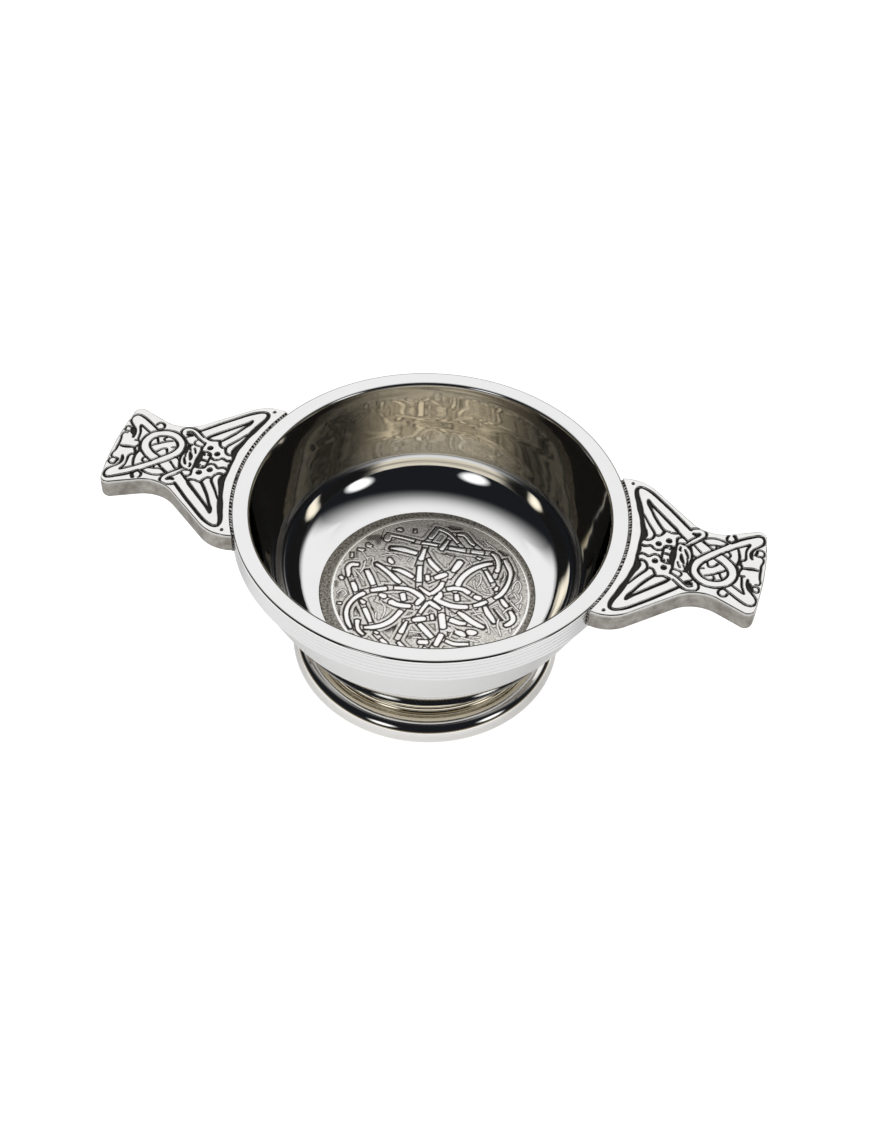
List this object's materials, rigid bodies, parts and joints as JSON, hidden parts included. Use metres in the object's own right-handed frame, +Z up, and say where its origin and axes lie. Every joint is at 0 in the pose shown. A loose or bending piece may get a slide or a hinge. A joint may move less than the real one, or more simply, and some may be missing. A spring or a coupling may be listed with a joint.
{
  "type": "quaich",
  "caption": "Shallow two-lugged pewter drinking bowl on a flanged foot, with carved fishtail lugs level with the rim and an interlace roundel in its floor.",
  "frame": {"origin": "centre of the bowl's axis on the surface that the foot stands on", "axes": "+X along the lugs to the right-hand one, +Y towards the back of the bowl, +Z up along the bowl's axis"},
  "size_m": [0.1498, 0.089, 0.0468],
  "materials": {
    "bright_pewter": "mirror-polished pewter with fine turning lines",
    "cast_pewter": "polished cast relief on a blackened ground, satin sides",
    "antiqued_pewter": "stamped relief, blackened in the hollows",
    "solder": "dull grey soft solder"
  },
  "bodies": {
    "root": {"bowl": "bright_pewter", "foot": "bright_pewter", "foot_solder": "solder", "right_lug": "cast_pewter", "right_lug_solder": "solder", "left_lug": "cast_pewter", "left_lug_solder": "solder", "roundel": "antiqued_pewter", "roundel_solder": "solder"}
  },
  "joints": []
}
